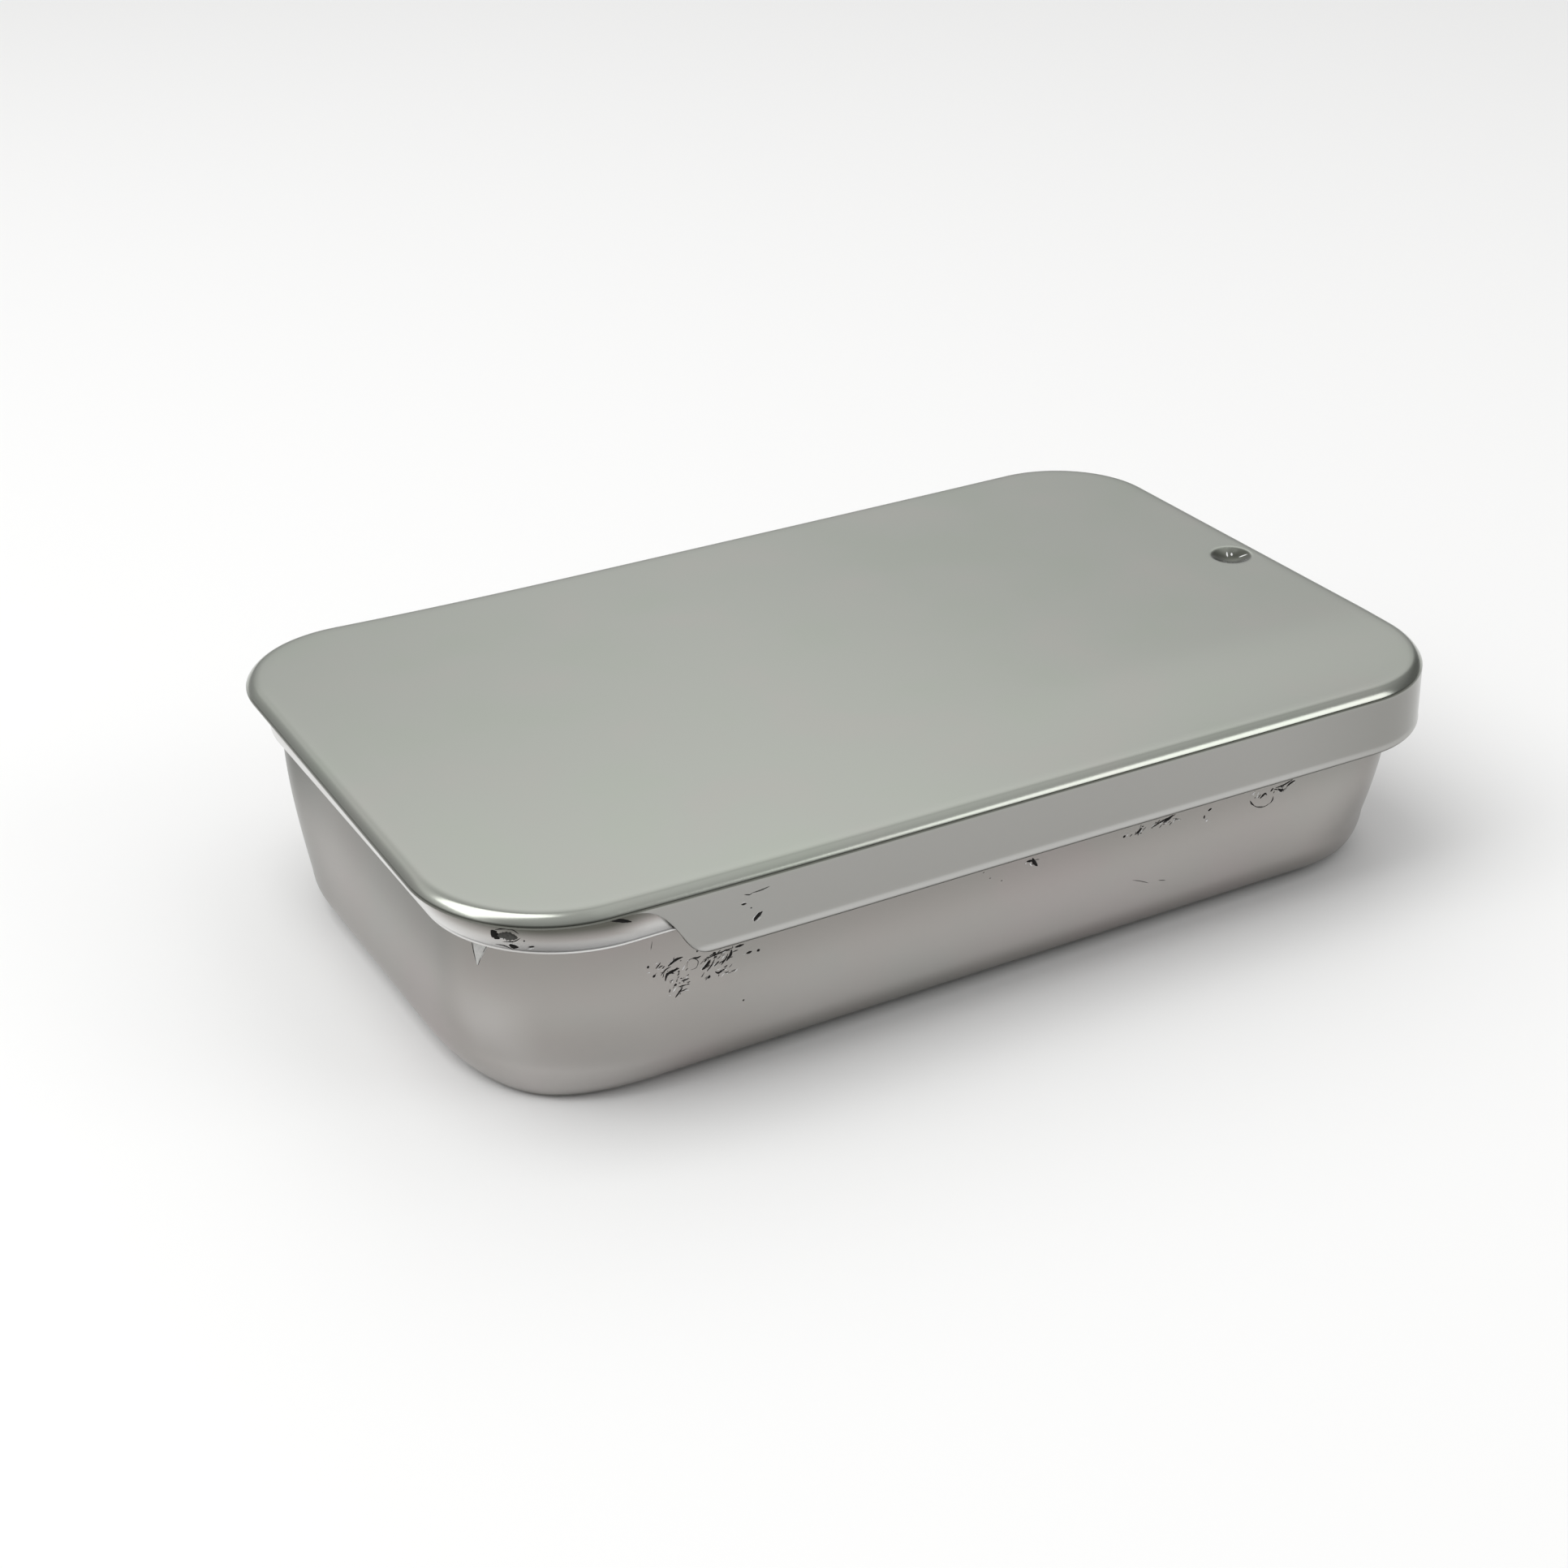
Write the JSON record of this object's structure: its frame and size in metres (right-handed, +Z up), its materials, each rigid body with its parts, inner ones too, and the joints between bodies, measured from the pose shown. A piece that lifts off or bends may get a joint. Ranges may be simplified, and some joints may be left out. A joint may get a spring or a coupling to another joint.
{
  "type": "sliding lid tin",
  "caption": "Shallow rectangular metal tin with rounded corners, a drawn tray with a rolled rim, and a shut slide-on lid whose skirt wraps the long sides and one end.",
  "frame": {"origin": "on the ground, at the centre of the whole tin seen from above", "axes": "+X along the tin towards the lid's closed end, where the dent is; +Y towards the back long side; +Z up"},
  "size_m": [0.08, 0.05, 0.0173],
  "materials": {
    "lid_metal": "satin bare metal with a faint green-grey cast, bright along the rolled edge",
    "tray_metal": "satin bare metal, slightly warmer and darker than the lid, scratched below the lid's skirt"
  },
  "bodies": {
    "root": {"lid": "lid_metal", "tray": "tray_metal"}
  },
  "joints": []
}
